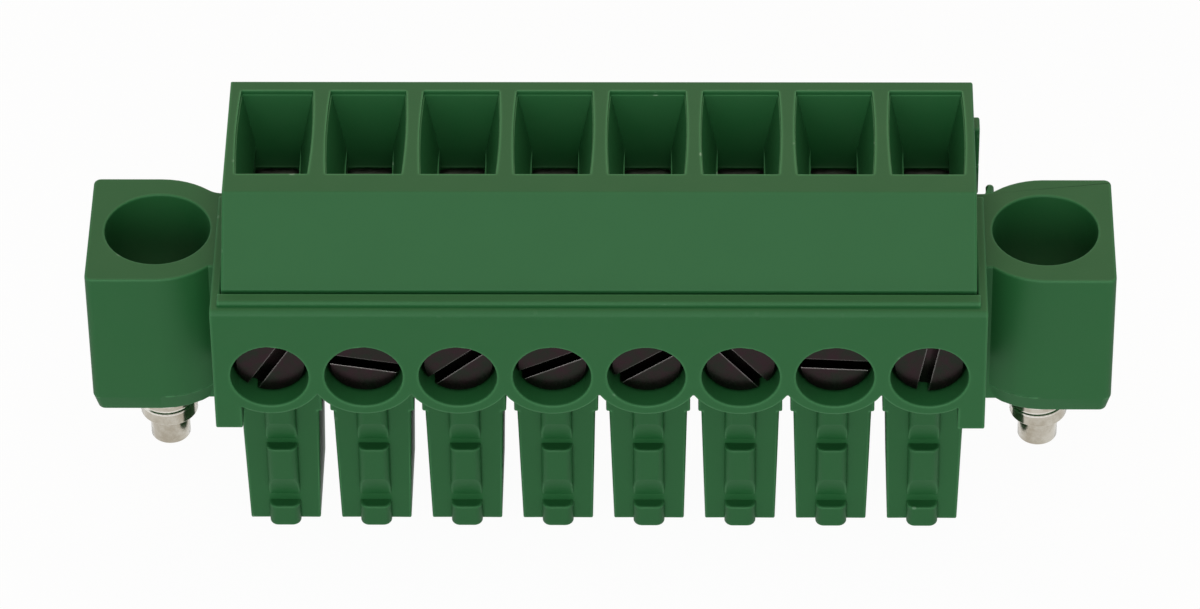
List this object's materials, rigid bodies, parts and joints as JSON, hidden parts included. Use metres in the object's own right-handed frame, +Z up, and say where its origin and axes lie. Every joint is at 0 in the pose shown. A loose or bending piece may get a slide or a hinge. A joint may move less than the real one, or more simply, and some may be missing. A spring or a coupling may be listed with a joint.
{
  "type": "pluggable terminal block",
  "caption": "Row plug with rising-cage screw clamps, wire funnels on top, contact fingers below and a screw flange at each end.",
  "frame": {"origin": "middle of the row on the plane of the finger ends, half way between the screw face and the back", "axes": "+X along the row to the right as seen from the screw face, +Y from the screw face to the back, +Z up from the finger ends to the wire funnels"},
  "size_m": [0.042, 0.011, 0.0182],
  "materials": {
    "housing": "moulded polyamide, fine matt, green",
    "clamp_screw": "zinc plated steel, dark in its pocket",
    "cage": "nickel plated brass",
    "contact": "tin plated copper alloy",
    "flange_screw": "nickel plated steel, bright"
  },
  "bodies": {
    "housing": {"contact_housing": "housing", "wire_entry_cover": "housing", "contact_1": "contact", "contact_2": "contact", "contact_3": "contact", "contact_4": "contact", "contact_5": "contact", "contact_6": "contact", "contact_7": "contact", "contact_8": "contact"},
    "screw_1": {"clamp_screw_1": "clamp_screw"},
    "cage_1": {"clamp_cage_1": "cage"},
    "screw_2": {"clamp_screw_2": "clamp_screw"},
    "cage_2": {"clamp_cage_2": "cage"},
    "screw_3": {"clamp_screw_3": "clamp_screw"},
    "cage_3": {"clamp_cage_3": "cage"},
    "screw_4": {"clamp_screw_4": "clamp_screw"},
    "cage_4": {"clamp_cage_4": "cage"},
    "screw_5": {"clamp_screw_5": "clamp_screw"},
    "cage_5": {"clamp_cage_5": "cage"},
    "screw_6": {"clamp_screw_6": "clamp_screw"},
    "cage_6": {"clamp_cage_6": "cage"},
    "screw_7": {"clamp_screw_7": "clamp_screw"},
    "cage_7": {"clamp_cage_7": "cage"},
    "screw_8": {"clamp_screw_8": "clamp_screw"},
    "cage_8": {"clamp_cage_8": "cage"},
    "flange_screw_left_body": {"flange_screw_left": "flange_screw"},
    "flange_screw_right_body": {"flange_screw_right": "flange_screw"}
  },
  "joints": [
    {"name": "screw_1_turn", "type": "hinge", "parent": "housing", "child": "screw_1", "pos_m": [-0.01333, -0.00475, 0.01186], "axis": [0, 1, 0], "range_deg": [0, 2070]},
    {"name": "cage_1_slide", "type": "slide", "parent": "housing", "child": "cage_1", "axis": [0, -1, 0], "range_m": [0, 0.0023]},
    {"name": "screw_2_turn", "type": "hinge", "parent": "housing", "child": "screw_2", "pos_m": [-0.00953, -0.00475, 0.01186], "axis": [0, 1, 0], "range_deg": [0, 2070]},
    {"name": "cage_2_slide", "type": "slide", "parent": "housing", "child": "cage_2", "axis": [0, -1, 0], "range_m": [0, 0.0023]},
    {"name": "screw_3_turn", "type": "hinge", "parent": "housing", "child": "screw_3", "pos_m": [-0.00571, -0.00475, 0.01186], "axis": [0, 1, 0], "range_deg": [0, 2070]},
    {"name": "cage_3_slide", "type": "slide", "parent": "housing", "child": "cage_3", "axis": [0, -1, 0], "range_m": [0, 0.0023]},
    {"name": "screw_4_turn", "type": "hinge", "parent": "housing", "child": "screw_4", "pos_m": [-0.00191, -0.00475, 0.01186], "axis": [0, 1, 0], "range_deg": [0, 2070]},
    {"name": "cage_4_slide", "type": "slide", "parent": "housing", "child": "cage_4", "axis": [0, -1, 0], "range_m": [0, 0.0023]},
    {"name": "screw_5_turn", "type": "hinge", "parent": "housing", "child": "screw_5", "pos_m": [0.00191, -0.00475, 0.01186], "axis": [0, 1, 0], "range_deg": [0, 2070]},
    {"name": "cage_5_slide", "type": "slide", "parent": "housing", "child": "cage_5", "axis": [0, -1, 0], "range_m": [0, 0.0023]},
    {"name": "screw_6_turn", "type": "hinge", "parent": "housing", "child": "screw_6", "pos_m": [0.00571, -0.00475, 0.01186], "axis": [0, 1, 0], "range_deg": [0, 2070]},
    {"name": "cage_6_slide", "type": "slide", "parent": "housing", "child": "cage_6", "axis": [0, -1, 0], "range_m": [0, 0.0023]},
    {"name": "screw_7_turn", "type": "hinge", "parent": "housing", "child": "screw_7", "pos_m": [0.00953, -0.00475, 0.01186], "axis": [0, 1, 0], "range_deg": [0, 2070]},
    {"name": "cage_7_slide", "type": "slide", "parent": "housing", "child": "cage_7", "axis": [0, -1, 0], "range_m": [0, 0.0023]},
    {"name": "screw_8_turn", "type": "hinge", "parent": "housing", "child": "screw_8", "pos_m": [0.01333, -0.00475, 0.01186], "axis": [0, 1, 0], "range_deg": [0, 2070]},
    {"name": "cage_8_slide", "type": "slide", "parent": "housing", "child": "cage_8", "axis": [0, -1, 0], "range_m": [0, 0.0023]},
    {"name": "flange_screw_left_turn", "type": "hinge", "parent": "housing", "child": "flange_screw_left_body", "pos_m": [-0.01815, 0.001, 0.0069], "axis": [0, 0, 1], "continuous": true},
    {"name": "flange_screw_right_turn", "type": "hinge", "parent": "housing", "child": "flange_screw_right_body", "pos_m": [0.01815, 0.001, 0.0069], "axis": [0, 0, 1], "continuous": true}
  ],
  "couplings": [
    {"joint": "screw_1_turn", "follows": "cage_1_slide", "rad_per_m": 15708},
    {"joint": "screw_2_turn", "follows": "cage_2_slide", "rad_per_m": 15708},
    {"joint": "screw_3_turn", "follows": "cage_3_slide", "rad_per_m": 15708},
    {"joint": "screw_4_turn", "follows": "cage_4_slide", "rad_per_m": 15708},
    {"joint": "screw_5_turn", "follows": "cage_5_slide", "rad_per_m": 15708},
    {"joint": "screw_6_turn", "follows": "cage_6_slide", "rad_per_m": 15708},
    {"joint": "screw_7_turn", "follows": "cage_7_slide", "rad_per_m": 15708},
    {"joint": "screw_8_turn", "follows": "cage_8_slide", "rad_per_m": 15708}
  ]
}
